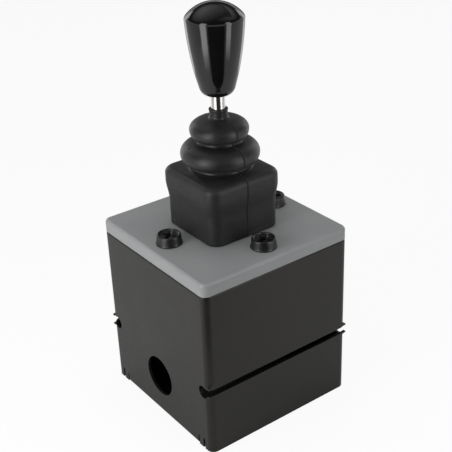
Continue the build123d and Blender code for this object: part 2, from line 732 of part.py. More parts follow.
# ---- gaiter bellows: two folds between the skirt and the neck
bellows_bore = rod_radius + rod_fit
crease_foot = bellows_foot + lower_crease_height
fold_foot = crease_foot + crease_radius
lower_centre = lower_waist_radius + crease_radius
inner_crease = crease_radius + gaiter_wall
with BuildPart() as gaiter_bellows:
    with BuildSketch(Plane.XZ):
        with BuildLine():
            Line((lower_waist_radius, bellows_foot), (lower_waist_radius, crease_foot))
            RadiusArc((lower_waist_radius, crease_foot), (lower_centre, fold_foot), crease_radius)
            EllipticalCenterArc((lower_centre, lower_fold_level), lower_fold_radius - lower_centre,
                                lower_fold_rise, start_angle=-quarter_turn, arc_size=quarter_turn)
            EllipticalCenterArc((upper_waist_radius, lower_fold_level),
                                lower_fold_radius - upper_waist_radius,
                                upper_crease_rise - crease_radius, start_angle=0,
                                arc_size=quarter_turn)
            ThreePointArc((upper_waist_radius, upper_crease_level - crease_radius),
                          (upper_waist_radius - crease_radius, upper_crease_level),
                          (upper_waist_radius, upper_crease_level + crease_radius))
            EllipticalCenterArc((upper_waist_radius, upper_fold_level),
                                upper_fold_radius - upper_waist_radius,
                                upper_fold_rise - crease_radius, start_angle=-quarter_turn,
                                arc_size=quarter_turn)
            EllipticalCenterArc((neck_radius, upper_fold_level), upper_fold_radius - neck_radius,
                                neck_foot_rise, start_angle=0, arc_size=quarter_turn)
            # the inside follows the folds in straight lines
            Polyline((neck_radius, neck_foot), (bellows_bore, neck_foot),
                     (bellows_bore, neck_foot - gaiter_wall), (neck_radius, neck_foot - gaiter_wall),
                     (upper_fold_radius - gaiter_wall, upper_fold_level),
                     (upper_waist_radius, upper_crease_level + inner_crease),
                     (upper_waist_radius - inner_crease, upper_crease_level),
                     (upper_waist_radius, upper_crease_level - inner_crease),
                     (lower_fold_radius - gaiter_wall, lower_fold_level),
                     (lower_centre, fold_foot + gaiter_wall),
                     (lower_waist_radius - gaiter_wall, fold_foot + gaiter_wall),
                     (lower_waist_radius - gaiter_wall, bellows_foot),
                     (lower_waist_radius, bellows_foot))
        make_face()
    revolve(axis=Axis.Z)
save(gaiter_bellows, "gaiter_bellows")

with BuildPart() as gaiter_neck:
    with BuildSketch(Plane.XZ):
        with BuildLine():
            lip = neck_lip_radius - neck_radius
            Polyline((neck_radius, neck_top - neck_lip_height), (neck_radius, neck_foot),
                     (rod_radius + running_clearance, neck_foot),
                     (rod_radius + running_clearance, neck_top), (neck_radius, neck_top))
            Line((neck_radius, neck_top), (neck_lip_radius, neck_top - lip))
            Line((neck_lip_radius, neck_top - lip), (neck_radius, neck_top - neck_lip_height))
        make_face()
    revolve(axis=Axis.Z)
save(gaiter_neck, "gaiter_neck")
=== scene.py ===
import math

import bmesh
import bpy
import numpy as np
from mathutils import Matrix, Vector


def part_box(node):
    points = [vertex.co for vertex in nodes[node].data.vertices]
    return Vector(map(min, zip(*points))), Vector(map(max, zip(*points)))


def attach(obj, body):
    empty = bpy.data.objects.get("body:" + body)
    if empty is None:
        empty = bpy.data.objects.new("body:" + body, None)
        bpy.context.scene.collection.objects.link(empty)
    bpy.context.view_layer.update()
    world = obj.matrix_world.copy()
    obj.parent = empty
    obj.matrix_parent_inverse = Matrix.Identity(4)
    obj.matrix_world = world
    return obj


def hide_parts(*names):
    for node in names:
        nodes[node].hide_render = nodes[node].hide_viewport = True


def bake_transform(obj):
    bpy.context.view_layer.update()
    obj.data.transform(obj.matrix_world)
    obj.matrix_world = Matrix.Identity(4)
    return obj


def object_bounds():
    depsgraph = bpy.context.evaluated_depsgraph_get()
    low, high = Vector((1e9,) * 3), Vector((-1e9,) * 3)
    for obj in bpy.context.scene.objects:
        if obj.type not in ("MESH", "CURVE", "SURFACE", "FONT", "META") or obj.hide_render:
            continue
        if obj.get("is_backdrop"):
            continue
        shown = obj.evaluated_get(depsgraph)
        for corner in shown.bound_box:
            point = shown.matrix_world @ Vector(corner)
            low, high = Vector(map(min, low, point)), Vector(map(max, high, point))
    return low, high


# Looks for the hand joystick with its hydraulic pilot valve in a console box.
MM = 0.001
SIDES = ("east", "north", "west", "south")

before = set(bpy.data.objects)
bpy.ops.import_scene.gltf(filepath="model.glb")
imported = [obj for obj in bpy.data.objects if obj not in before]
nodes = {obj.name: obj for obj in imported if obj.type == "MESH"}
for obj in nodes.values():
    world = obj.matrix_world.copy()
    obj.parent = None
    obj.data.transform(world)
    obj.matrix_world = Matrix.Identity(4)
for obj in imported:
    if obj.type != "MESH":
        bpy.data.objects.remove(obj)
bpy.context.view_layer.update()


# ------------------------------------------------------------------ node helpers
# sockets of a Mix node, whose names repeat
MIX_FACTOR = 0
MIX_FLOAT_A, MIX_FLOAT_B = 2, 3
MIX_COLOUR_A, MIX_COLOUR_B = 6, 7
MIX_COLOUR_OUT = 2


def feed(tree, made, inputs):
    """Fills inputs from nodes, (node, output) pairs, numbers, vectors or colours."""
    for into, source in inputs.items():
        socket = made.inputs[into]
        if isinstance(source, bpy.types.Node):
            source = (source, 0)
        if not isinstance(source, tuple):
            socket.default_value = source
        elif isinstance(source[0], bpy.types.Node):
            tree.links.new(source[0].outputs[source[1]], socket)
        else:
            socket.default_value = (*source, 1.0) if socket.type == "RGBA" else source


def node(tree, kind, inputs=None, **settings):
    """A shader node with its settings and its inputs."""
    made = tree.nodes.new(kind)
    for key, value in settings.items():
        setattr(made, key, value)
    feed(tree, made, inputs or {})
    return made


def emptied_tree(owner):
    """The node tree of a material or world, with no node in it."""
    owner.use_nodes = True
    owner.node_tree.nodes.clear()
    return owner.node_tree


def blank_material(name):
    material = bpy.data.materials.new(name)
    tree = emptied_tree(material)
    shader = node(tree, "ShaderNodeBsdfPrincipled")
    node(tree, "ShaderNodeOutputMaterial", {"Surface": shader})
    return material, tree, shader


def noise(tree, where, size, detail=3.0, rough=0.55, stretch=None):
    """Noise whose features are about size millimetres across."""
    if stretch:
        where = node(tree, "ShaderNodeMapping", {"Scale": stretch, "Vector": where})
    per_metre = 1000.0 / size
    return node(tree, "ShaderNodeTexNoise", {
        "Scale": per_metre, "Detail": detail, "Roughness": rough, "Vector": where})


def span(tree, value, low, high, to_low, to_high):
    """Maps low to high of a value onto to_low to to_high, and no further."""
    return node(tree, "ShaderNodeMapRange", {
        "From Min": low, "From Max": high, "To Min": to_low, "To Max": to_high,
        "Value": value}, clamp=True)


def maths(tree, operation, *values):
    return node(tree, "ShaderNodeMath", dict(enumerate(values)), operation=operation)


def bump(tree, height, depth, under=None):
    """A bump of a depth in millimetres, on top of another one if there is one."""
    made = node(tree, "ShaderNodeBump", {
        "Strength": 1.0, "Distance": depth * MM, "Height": height})
    if under:
        feed(tree, made, {"Normal": under})
    return made


def mix_colour(tree, factor, first, second):
    made = node(tree, "ShaderNodeMix", {
        MIX_FACTOR: factor, MIX_COLOUR_A: first, MIX_COLOUR_B: second}, data_type="RGBA")
    return made, MIX_COLOUR_OUT


def finish_material(name, dark, light, patch, rough, bumps, metallic=0.0, specular=0.5,
                    stretch=None, wear=None, tint=(1.0, 1.0, 1.0)):
    """A layered finish: colour drifting between two tones, roughness drifting with it, and bumps.

    patch is the size in mm of the drift, rough is (low, high), bumps are (size, depth, detail) and
    wear is (radius, colour, roughness) for edges rubbed bare.
    """
    material, tree, shader = blank_material(name)
    where = node(tree, "ShaderNodeTexCoord"), "Object"
    drift = noise(tree, where, patch, detail=4.0, stretch=stretch)
    colour = mix_colour(tree, span(tree, drift, 0.32, 0.68, 0.0, 1.0), dark, light)
    fine = noise(tree, where, patch / 9.0, detail=2.0, stretch=stretch)
    both = maths(tree, "MULTIPLY_ADD", fine, 0.6, drift)
    roughness = span(tree, both, 0.55, 1.05, *rough)
    if wear:
        radius, worn, worn_rough = wear
        bevel = node(tree, "ShaderNodeBevel", {"Radius": radius * MM}, samples=6)
        flat = node(tree, "ShaderNodeNewGeometry"), "Normal"
        facing = node(tree, "ShaderNodeVectorMath", {0: bevel, 1: flat}, operation="DOT_PRODUCT")
        edge = span(tree, (facing, "Value"), 0.985, 0.86, 0.0, 1.0)
        scuffs = noise(tree, where, 3.0, detail=5.0, rough=0.7)
        mask = maths(tree, "MULTIPLY", edge, span(tree, scuffs, 0.42, 0.62, 0.0, 1.0))
        colour = mix_colour(tree, mask, colour, worn)
        roughness = node(tree, "ShaderNodeMix", {
            MIX_FACTOR: mask, MIX_FLOAT_A: roughness, MIX_FLOAT_B: worn_rough}, data_type="FLOAT")
    surface = None
    for size, depth, detail in bumps:
        grain = noise(tree, where, size, detail=detail, stretch=stretch)
        surface = bump(tree, grain, depth, under=surface)
    feed(tree, shader, {
        "Base Color": colour, "Roughness": roughness, "Normal": surface, "Metallic": metallic,
        "Specular IOR Level": specular, "Specular Tint": tint})
    return material


# ------------------------------------------------------------------ finishes
powder = finish_material(
    "black_powder_coat", (0.0068, 0.0063, 0.0058), (0.0100, 0.0093, 0.0086), 26.0, (0.33, 0.43),
    [(1.1, 0.020, 2.0), (0.35, 0.008, 1.0)], specular=0.32, wear=(0.5, (0.04, 0.039, 0.037), 0.33),
    tint=(1.0, 0.975, 0.925))
plate_grey = finish_material(
    "grey_plate", (0.250, 0.256, 0.258), (0.280, 0.285, 0.286), 34.0, (0.40, 0.52),
    [(0.9, 0.018, 3.0), (0.25, 0.008, 1.0)], specular=0.40,
    wear=(0.5, (0.30, 0.305, 0.31), 0.45))
screw_black = finish_material(
    "black_screw", (0.0045, 0.0046, 0.0046), (0.0080, 0.0081, 0.0081), 5.0, (0.32, 0.42),
    [(1.6, 0.008, 2.0)], specular=0.5)
casting = finish_material(
    "cast_body", (0.10, 0.102, 0.105), (0.17, 0.172, 0.176), 9.0, (0.42, 0.62),
    [(1.4, 0.11, 3.0), (0.4, 0.03, 2.0)], metallic=0.85)
zinc = finish_material(
    "zinc_steel", (0.46, 0.45, 0.42), (0.60, 0.59, 0.56), 2.2, (0.22, 0.40),
    [(0.6, 0.010, 2.0)], metallic=1.0)
machined = finish_material(
    "machined_steel", (0.34, 0.345, 0.35), (0.47, 0.475, 0.48), 5.0, (0.22, 0.36),
    [(0.5, 0.010, 2.0)], metallic=1.0, stretch=(1.0, 1.0, 14.0))
bronze = finish_material(
    "bronze", (0.40, 0.24, 0.10), (0.55, 0.34, 0.15), 3.0, (0.26, 0.42),
    [(0.5, 0.012, 2.0)], metallic=1.0)
seal_rubber = finish_material(
    "seal_rubber", (0.010, 0.010, 0.010), (0.018, 0.018, 0.018), 3.0, (0.42, 0.56),
    [(0.6, 0.02, 2.0)])
spring_steel = finish_material(
    "spring_steel", (0.17, 0.165, 0.16), (0.28, 0.27, 0.26), 2.5, (0.24, 0.40),
    [(0.5, 0.012, 2.0)], metallic=1.0)
brass = finish_material(
    "brass", (0.56, 0.40, 0.15), (0.68, 0.50, 0.22), 3.0, (0.20, 0.34),
    [(0.5, 0.01, 2.0)], metallic=1.0)
polished = finish_material(
    "bright_rod", (0.52, 0.505, 0.49), (0.60, 0.59, 0.575), 4.0, (0.10, 0.18),
    [(0.35, 0.004, 1.0)], metallic=1.0, stretch=(1.0, 1.0, 0.12))
gloss = finish_material(
    "gloss_knob", (0.0028, 0.0028, 0.0029), (0.0042, 0.0042, 0.0043), 18.0, (0.05, 0.09),
    [(2.4, 0.010, 1.0), (7.0, 0.03, 1.0)], specular=0.43)

# the vent is painted as a near-black spot of shade; the mesh has no hole there
VENT_SHADE_SPOT = (-4.5, -21.4, 190.9)        # vent hole, high on the lower fold
GATE = (-16.6, -27.8, 135.4)       # gate mark, low on the square part
FOOT_LINE = 134.6                  # level of the faint line round the foot


def near_spot(tree, where, spot, inner, outer):
    """1 up to inner from a spot, fading to 0 at outer, all in millimetres."""
    gap = node(tree, "ShaderNodeVectorMath", {0: where, 1: tuple(v * MM for v in spot)},
               operation="DISTANCE")
    return span(tree, (gap, "Value"), inner * MM, outer * MM, 1.0, 0.0)


def rubber_material():
    """Moulded rubber: bloom, fine grain, a parting line in the plane y = 0 and a vent, both with
    painted shade, and a gate mark.
    """
    material, tree, shader = blank_material("gaiter_rubber")
    where = node(tree, "ShaderNodeAttribute", attribute_name="rest"), "Vector"
    clouds = noise(tree, where, 17.0, detail=5.0, rough=0.6)
    colour = mix_colour(tree, span(tree, clouds, 0.30, 0.70, 0.0, 1.0),
                        (0.0045, 0.0046, 0.0048), (0.0090, 0.0091, 0.0091))
    axes = node(tree, "ShaderNodeSeparateXYZ", {0: where})
    off_plane = maths(tree, "ABSOLUTE", (axes, "Y"))
    # painted shade: the rubber is darkened along the parting line, standing in for the shade beside
    # its ridge; the same mask also makes the line duller
    parting_line_painted_shade = span(tree, off_plane, 0.5 * MM, 1.2 * MM, 0.85, 0.0)
    colour = mix_colour(tree, parting_line_painted_shade, colour, (0.003, 0.003, 0.003))
    # painted shade: a near-black spot of colour stands in for the shade inside the vent hole
    painted_vent_shade = near_spot(tree, where, VENT_SHADE_SPOT, 0.8, 1.1)
    colour = mix_colour(tree, painted_vent_shade, colour, (0.001, 0.001, 0.001))
    # the square part is duller than the folds, the parting line and the vent duller still
    fine = noise(tree, where, 2.4, detail=3.0)
    roughness = span(tree, fine, 0.3, 0.7, 0.38, 0.50)
    handled = span(tree, (axes, "Z"), 170 * MM, 176 * MM, 0.12, 0.0)
    roughness = maths(tree, "ADD", roughness, handled)
    roughness = maths(tree, "MAXIMUM", roughness, parting_line_painted_shade)
    roughness = maths(tree, "MAXIMUM", roughness, painted_vent_shade)
    surface = bump(tree, noise(tree, where, 0.45, detail=2.0), 0.018)
    surface = bump(tree, noise(tree, where, 9.0, detail=2.0), 0.25, under=surface)
    off_foot = maths(tree, "ABSOLUTE", maths(tree, "SUBTRACT", (axes, "Z"), FOOT_LINE * MM))
    foot_line = span(tree, off_foot, 0.2 * MM, 0.6 * MM, 0.0, 1.0)
    surface = bump(tree, foot_line, 0.10, under=surface)
    surface = bump(tree, near_spot(tree, where, GATE, 0.4, 1.6), 0.5, under=surface)
    feed(tree, shader, {
        "Base Color": colour, "Roughness": roughness, "Normal": surface,
        "Specular IOR Level": 0.42, "Sheen Weight": 0.09, "Sheen Roughness": 0.4})
    return material


rubber = rubber_material()

finishes = {
    "console_shell": powder, "top_plate": plate_grey, "plate_screws": screw_black,
    "valve_body": casting, "port_block": casting, "port_block_screws": zinc,
    "guide_block": machined, "guide_screws": zinc, "guide_bushes": bronze,
    "plunger_seals": seal_rubber, "joint_base_yoke": machined, "joint_cross_block": machined,
    "joint_long_pin": machined, "joint_cross_pin": machined, "actuating_plate": machined,
    "lock_nut": zinc, "lever_rod": polished, "knob_insert": brass, "knob": gloss,
    "gaiter_base": rubber, "gaiter_bellows": rubber, "gaiter_neck": rubber,
}
for side in SIDES:
    finishes["plunger_" + side] = machined
    finishes["return_spring_" + side] = spring_steel
    finishes["metering_spring_" + side] = spring_steel
    finishes["spool_" + side] = machined
for name, material in finishes.items():
    nodes[name].data.materials.clear()
    nodes[name].data.materials.append(material)


# ------------------------------------------------------------------ mesh helpers
def placed_mesh(name, points, faces):
    """A mesh object in the scene, from points in metres."""
    mesh = bpy.data.meshes.new(name)
    mesh.from_pydata(points, [], faces)
    made = bpy.data.objects.new(name, mesh)
    bpy.context.scene.collection.objects.link(made)
    return made


def mesh_piece(name, points, faces, material):
    """A smooth piece from points in millimetres."""
    made = placed_mesh(name, [tuple(float(v) * MM for v in p) for p in points], faces)
    made.data.validate()
    made.data.polygons.foreach_set("use_smooth", [True] * len(made.data.polygons))
    made.data.materials.append(material)
    made.data.update()
    return made


def keep_rest(made):
    """Stores where each point is at rest, so patterns stay with the surface when it bends."""
    points = np.zeros(len(made.data.vertices) * 3, np.float32)
    made.data.vertices.foreach_get("co", points)
    attribute = made.data.attributes.new("rest", "FLOAT_VECTOR", "POINT")
    attribute.data.foreach_set("vector", points)


def skin(rings, closed_loop):
    """Quads over equal rings of points; closed_loop joins the last ring to the first."""
    count = len(rings[0])
    points = np.concatenate(rings)
    faces = []
    last = len(rings) if closed_loop else len(rings) - 1
    for i in range(last):
        low, high = i * count, ((i + 1) % len(rings)) * count
        for j in range(count):
            k = (j + 1) % count
            faces.append((low + j, low + k, high + k, high + j))
    return points, faces


def smooth_step(t):
    """0 below 0, 1 above 1 and a smooth S between."""
    t = min(1.0, max(0.0, t))
    return t * t * (3.0 - 2.0 * t)


# ------------------------------------------------------------------ gaiter
PLATE_TOP = 131.2
BLOCK_TOP = 173.0      # edge of the square part's top face, which climbs from there to the folds
SEAM_LEVEL = 184.2     # the lower fold's widest ring, where the two mouldings of the scene meet
SEAM_RADIUS = 26.4
WALL = 1.8             # thickness of the folds
BLOCK_WALL = 2.2       # thickness of the square part
RIDGE = 0.45           # how far the moulded line stands out
RIDGE_REACH = 0.75     # half its width
FOOT_HALF = 27.8       # half width of the square part at its foot
TUCK = 0.9             # how far the foot is tucked in on the plate
TUCK_HEIGHT = 1.3
SPREAD_LEVEL = 150.0   # the sides begin to widen here
SPREAD_HEIGHT = 14.0
SHOULDER_HALF = 29.3   # half width below the shoulder
BLOCK_CORNER = 8.0     # corner radius of the square part
FACE_CORNER = 6.9      # and where its top face begins
SHOULDER = 4.2         # radius of the shoulder
WAIST = 21.0           # radius where the top face meets the folds
LIP_TOP = 134.1        # the foot turns in to a lip, which the guide block's groove grips
LIP_HALF = 22.9
LIP_CORNER = 4.2
FACE_CLIMB = 1.9       # how far the top face climbs, outside
INNER_CLIMB = 1.5      # and inside
NECK_BORE = 4.72
BORE_LEVELS = (211.0, 206.6)
HOLLOW_TOP = 208.0     # above this the neck is solid round its bore
HOLLOW_MIN = 5.2       # the hollow's rings are no narrower than this
ROUND = 1e9            # a corner radius that makes any ring a circle
COLUMNS = 60           # columns of a quarter ring, beyond those gathered at the parting line
GATHERED = (0.0, 0.18, 0.4, 0.6, 0.8, 1.1)    # distances of those from the parting plane


def square_reach(angle, half, corner):
    """Distance from the axis to a rounded square's outline in the direction of an angle."""
    c, s = abs(math.cos(angle)), abs(math.sin(angle))
    if c < s:
        c, s = s, c
    flat = half / c
    if flat * s <= half - corner:
        return flat
    a = half - corner
    reach = a * (c + s)
    return reach + math.sqrt(max(0.0, reach * reach - 2.0 * a * a + corner * corner))


def ring(level, half, corner, ridge=0.0):
    """A closed ring at a level, as round as its corner makes it; ridge is on the parting line."""
    quarter = [math.asin(min(0.9, w / half)) for w in GATHERED]
    start = quarter[-1]
    quarter += [start + (math.pi / 2 - start) * (i + 1) / COLUMNS for i in range(COLUMNS)]
    angles = list(quarter)
    angles += [math.pi - a for a in reversed(quarter[:-1])]
    angles += [math.pi + a for a in quarter[1:]]
    angles += [2 * math.pi - a for a in reversed(quarter[1:-1])]
    out = []
    for angle in angles:
        reach = square_reach(angle, half, min(corner, half))
        reach += ridge * (1.0 - smooth_step(abs(half * math.sin(angle)) / RIDGE_REACH))
        out.append((reach * math.cos(angle), reach * math.sin(angle), level))
    return np.array(out)


def arc(centre, radii, start, end, steps):
    """Points (radius, level) of an elliptical arc in a profile, in degrees from +radius."""
    angles = [math.radians(start + (end - start) * i / steps) for i in range(steps + 1)]
    return [(centre[0] + radii[0] * math.cos(a), centre[1] + radii[1] * math.sin(a))
            for a in angles]


def block_half(level):
    """The square part's half width: tucked in on the plate, upright, then wider at the top."""
    tuck = TUCK * max(0.0, 1.0 - (level - PLATE_TOP) / TUCK_HEIGHT) ** 2
    rise = smooth_step((level - SPREAD_LEVEL) / SPREAD_HEIGHT)
    return FOOT_HALF - tuck + (SHOULDER_HALF - FOOT_HALF) * rise


def block_corner(level):
    return BLOCK_CORNER + 0.8 * smooth_step((level - SPREAD_LEVEL) / 20.0)


def block_rings(inset, foot):
    """Rings of the square part from the foot up over the shoulder, and the half width there."""
    edge = BLOCK_TOP - SHOULDER
    levels = list(np.linspace(foot, foot + 1.5, 6)) + list(np.linspace(foot + 2.5, edge, 32))
    ridge = 0.0 if inset else RIDGE
    made = [ring(z, block_half(z) - inset, block_corner(z) - inset, ridge) for z in levels]
    half, corner = block_half(edge), block_corner(edge)
    steps = 12
    for i in range(1, steps + 1):
        angle = math.pi / 2 * i / steps
        out, up = math.cos(angle), math.sin(angle)
        pull = SHOULDER * (1 - out)
        drop = inset if i == steps else inset * up
        made.append(ring(edge + SHOULDER * up - drop,
                         half - pull - inset * out,
                         max(corner - 0.45 * pull - inset * out, 3.0),
                         ridge * (1.0 + 0.6 * math.sin(2.0 * angle))))
    return made, half - SHOULDER


def top_face(inset, half, climb):
    """Rings across the top face, from square to round, climbing towards the waist."""
    made = []
    steps = 16
    for i in range(1, steps + 1):
        t = i / steps
        reach = half + (WAIST - half) * t
        corner = FACE_CORNER + (reach - FACE_CORNER) * smooth_step(t * 1.15)
        level = BLOCK_TOP - inset + climb * t ** 1.6
        made.append(ring(level, reach, min(corner, reach), 0.0 if inset else 0.5 * RIDGE))
    return made


def round_rings(profile, inset=0.0):
    """Circular rings from (radius, level) points, moved inwards along the profile's normal."""
    made = []
    for i, (r, z) in enumerate(profile):
        before = profile[max(i - 1, 0)]
        after = profile[min(i + 1, len(profile) - 1)]
        dr, dz = after[0] - before[0], after[1] - before[1]
        size = math.hypot(dr, dz) or 1.0
        ridge = 0.0 if inset else RIDGE * (0.7 if r > 8.0 else 0.3)
        made.append(ring(z + inset * dr / size, r - inset * dz / size, ROUND, ridge))
    return made


# a fillet leads up to a tight crease under each fold
lower_profile = (
    arc((21.0, 176.1), (1.2, 1.2), 262, 190, 8)
    + arc((20.5, 176.75), (0.75, 0.6), 186, 98, 6)
    + arc((20.5, SEAM_LEVEL), (5.9, 6.85), 274, 358, 20)
    + [(SEAM_RADIUS, SEAM_LEVEL)]
)
upper_profile = (
    [(SEAM_RADIUS, SEAM_LEVEL)]
    + arc((15.0, SEAM_LEVEL), (11.4, 7.9), 2, 74, 20)
    + arc((16.3, 193.6), (2.0, 1.9), 246, 188, 7)
    + arc((15.2, 193.6), (0.95, 0.75), 172, 105, 5)
    + arc((15.0, 200.5), (4.6, 6.3), 276, 360, 14)
    + arc((6.1, 200.5), (13.5, 7.4), 4, 80, 22)
    + arc((8.0, 209.8), (2.0, 2.1), 248, 183, 7)
    + [(6.05, 210.6), (6.08, 211.8), (6.13, 212.8), (6.24, 213.35), (6.36, 213.7), (6.35, 213.95),
       (6.15, 214.1), (5.2, 214.1), (NECK_BORE, 213.9)]
)


def lower_gaiter():
    """The foot, the square part and the lower half of the lower fold, hollow."""
    outer, half = block_rings(0.0, PLATE_TOP)
    outer += top_face(0.0, half, FACE_CLIMB) + round_rings(lower_profile)[1:]
    inner, inner_half = block_rings(BLOCK_WALL, LIP_TOP)
    past_fillet = 10    # the inside goes from the top face straight to the crease
    inner += top_face(BLOCK_WALL, inner_half, INNER_CLIMB)
    inner += round_rings(lower_profile, WALL)[past_fillet:]
    lip = [ring(z, LIP_HALF, LIP_CORNER) for z in (LIP_TOP, PLATE_TOP)]
    points, faces = skin(outer + inner[::-1] + lip, True)
    return mesh_piece("gaiter_lower_moulding", points, faces, rubber)


def upper_gaiter():
    """The rest of the folds and the neck, hollow."""
    folds = [p for p in upper_profile if p[1] < HOLLOW_TOP]
    inner = [r for r in round_rings(folds, WALL)
             if np.hypot(r[:, 0], r[:, 1]).min() > HOLLOW_MIN]
    bore = [ring(z, NECK_BORE, ROUND) for z in BORE_LEVELS]
    points, faces = skin(round_rings(upper_profile) + bore + inner[::-1], True)
    return mesh_piece("gaiter_upper_moulding", points, faces, rubber)


gaiter_low = lower_gaiter()
gaiter_high = upper_gaiter()
for piece in (gaiter_low, gaiter_high):
    seam = [abs(v.co.z - SEAM_LEVEL * MM) < 1e-6 for v in piece.data.vertices]
    for edge in piece.data.edges:
        edge.use_edge_sharp = all(seam[i] for i in edge.vertices)
    keep_rest(piece)
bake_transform(gaiter_low)
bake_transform(gaiter_high)
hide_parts("gaiter_base", "gaiter_bellows")
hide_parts("gaiter_neck")


# ------------------------------------------------------------------ plate screws
HEAD_SIDES = 72
DISH_LEVEL = 5.86      # of the dished top, over the plate
RECESS_LEVELS = (      # level, and the recess's share of its full size there
    (DISH_LEVEL, 1.0), (5.68, 0.985), (2.6, 0.74))
ARM_REACH, ARM_HALF = 5.15, 1.45    # of the cross recess
ARM_CHAMFER = 0.45
HEAD_PROFILE = (       # (radius, level) from the shank's end to the dish
    (2.98, -12.0), (2.98, 0.02), (8.7, 0.02), (9.0, 0.30), (9.0, 0.80), (8.85, 1.08),
    (8.62, 1.20), (8.52, 1.55), (8.08, 5.75), (7.94, 6.30), (7.66, 6.66), (7.28, 6.80),
    (6.95, 6.76), (6.66, 6.56), (6.42, 6.22), (6.26, 5.98), (6.00, DISH_LEVEL))
SCREW_OFFSET = 44.3
SCREWS = (             # which way each lies from the axis, and how far it is turned
    ((1, 0), 0.35), ((0, 1), 1.1), ((-1, 0), 0.1), ((0, -1), 0.62))


def cross_outline():
    """The recess from above: four arms with chamfered ends and filled inner corners."""
    inner = ARM_HALF + 0.35
    quarter = (
        (ARM_REACH - ARM_CHAMFER, -ARM_HALF), (ARM_REACH, -ARM_HALF + ARM_CHAMFER),
        (ARM_REACH, ARM_HALF - ARM_CHAMFER), (ARM_REACH - ARM_CHAMFER, ARM_HALF),
        (inner + 0.25, ARM_HALF), (inner, ARM_HALF + 0.05),
        (ARM_HALF + 0.05, inner), (ARM_HALF, inner + 0.25))
    outline = []
    for q in range(4):
        c, s = math.cos(q * math.pi / 2), math.sin(q * math.pi / 2)
        outline += [(x * c - y * s, x * s + y * c) for x, y in quarter]
    return outline


def within(point, outline):
    """Whether a point lies inside a closed outline, seen from above."""
    odd = False
    for (ax, ay), (bx, by) in zip(outline, outline[1:] + outline[:1]):
        if (ay > point.y) != (by > point.y):
            odd ^= point.x < ax + (bx - ax) * (point.y - ay) / (by - ay)
    return odd


def band(made, low, high):
    """Quads between two equal loops of bmesh points."""
    for i in range(len(low)):
        k = (i + 1) % len(low)
        made.faces.new((low[i], low[k], high[k], high[i]))


def screw_head(centre, turn):
    """A rimmed, dished head with a tapered cross recess, as a list of points and faces."""
    made = bmesh.new()
    turns = [2 * math.pi * i / HEAD_SIDES for i in range(HEAD_SIDES)]
    loops = [[made.verts.new((r * math.cos(t), r * math.sin(t), z)) for t in turns]
             for r, z in HEAD_PROFILE]
    for low, high in zip(loops, loops[1:]):
        band(made, low, high)
    made.faces.new(loops[0][::-1])
    outline = cross_outline()
    top, lip, bottom = [[made.verts.new((x * share, y * share, z)) for x, y in outline]
                        for z, share in RECESS_LEVELS]
    edges = [made.edges.new((top[i], top[(i + 1) % len(top)])) for i in range(len(top))]
    edges += [made.edges.get((loops[-1][i], loops[-1][(i + 1) % HEAD_SIDES]))
              for i in range(HEAD_SIDES)]
    bmesh.ops.triangle_fill(made, edges=edges, use_beauty=True, normal=(0, 0, 1))
    inside = [f for f in made.faces if all(v in top for v in f.verts)
              and within(f.calc_center_median(), outline)]
    bmesh.ops.delete(made, geom=inside, context="FACES_ONLY")
    band(made, top, lip)
    band(made, lip, bottom)
    made.faces.new(bottom)
    bmesh.ops.recalc_face_normals(made, faces=made.faces)
    bmesh.ops.rotate(made, verts=made.verts, cent=(0, 0, 0), matrix=Matrix.Rotation(turn, 3, "Z"))
    bmesh.ops.translate(made, verts=made.verts, vec=centre)
    made.verts.index_update()
    points = [v.co[:] for v in made.verts]
    faces = [[v.index for v in f.verts] for f in made.faces]
    made.free()
    return points, faces


head_points, head_faces = [], []
for (x, y), turn in SCREWS:
    centre = (x * SCREW_OFFSET, y * SCREW_OFFSET, PLATE_TOP)
    some_points, some_faces = screw_head(centre, turn)
    offset = len(head_points)
    head_points += some_points
    head_faces += [[i + offset for i in f] for f in some_faces]
heads = mesh_piece("plate_screw_heads", head_points, head_faces, screw_black)
split = heads.modifiers.new("sharp", "EDGE_SPLIT")
split.split_angle = math.radians(50)
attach(heads, "root")
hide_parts("plate_screws")


# ------------------------------------------------------------------ springs
COILS = 6.3
CLOSED_COILS = 1.15    # wound close at each end
WIRE_SIDES = 8
STEPS_PER_COIL = 26
SPOOL_PLAY = 1.9       # room left under a metering spring for its spool to rise into
SPRINGS = (            # kind, radius of the coil, thickness of the wire, room left below
    ("return", 4.6, 0.9, 0.0), ("metering", 2.5, 0.66, SPOOL_PLAY))


def coil(x, y, low, high, radius, wire):
    """Rings of a round wire wound about an upright axis, with a closed coil at each end."""
    steps = int(COILS * STEPS_PER_COIL)
    ends = CLOSED_COILS / COILS
    close_pitch = 1.04 * wire
    section = np.linspace(0, 2 * math.pi, WIRE_SIDES + 1)[:-1]
    rings = []
    for i in range(steps + 1):
        t = i / steps
        angle = 2 * math.pi * COILS * t
        open_share = min(max((t - ends) / (1 - 2 * ends), 0.0), 1.0)
        climb = smooth_step(open_share) * 0.35 + open_share * 0.65
        dead = close_pitch * (min(t / ends, 1.0) + max(t - 1 + ends, 0.0) / ends)
        level = low + wire / 2 + dead + climb * (high - low - 3 * close_pitch)
        rings.append(np.array([
            (x + math.cos(angle) * (radius + wire / 2 * math.cos(a)),
             y + math.sin(angle) * (radius + wire / 2 * math.cos(a)),
             level + wire / 2 * math.sin(a)) for a in section]))
    return rings


for side in SIDES:
    for kind, radius, wire, play in SPRINGS:
        lowest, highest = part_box(kind + "_spring_" + side)
        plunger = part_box("plunger_" + side)
        x, y = [(a + b) / 2 / MM for a, b in zip(plunger[0][:2], plunger[1][:2])]
        low, high = lowest.z / MM + play, highest.z / MM
        points, faces = skin(coil(x, y, low, high, radius, wire), False)
        faces.append(tuple(reversed(range(WIRE_SIDES))))
        faces.append(tuple(range(len(points) - WIRE_SIDES, len(points))))
        faces = [face[::-1] for face in faces]
        wound = mesh_piece(kind + "_coil_" + side, points, faces, spring_steel)
        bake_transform(wound)
        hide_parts(kind + "_spring_" + side)


